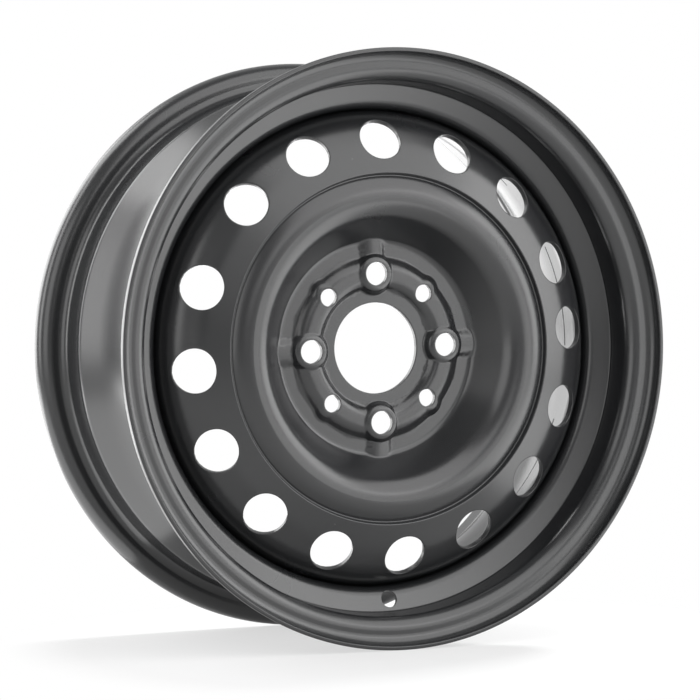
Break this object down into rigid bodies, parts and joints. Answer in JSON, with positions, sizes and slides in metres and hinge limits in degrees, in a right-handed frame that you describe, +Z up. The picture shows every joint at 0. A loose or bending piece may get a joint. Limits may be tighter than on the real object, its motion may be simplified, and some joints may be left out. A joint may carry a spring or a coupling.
{
  "type": "steel wheel rim",
  "caption": "Black pressed-steel car wheel: drop-centre rim with a welded dished disc, round vents, a raised bolt ring with cone seats and a hub bore.",
  "frame": {"origin": "on the axle, in the middle of the rim's width", "axes": "+Y along the axle from the outboard face to the inboard side, +Z up with the valve hole at the bottom"},
  "size_m": [0.3894, 0.1638, 0.3892],
  "materials": {
    "rim_paint": "semi-gloss black",
    "disc_paint": "semi-gloss black",
    "weld_paint": "semi-gloss black over weld beads"
  },
  "bodies": {
    "root": {"rim": "rim_paint", "disc": "disc_paint", "disc_welds": "weld_paint"}
  },
  "joints": []
}
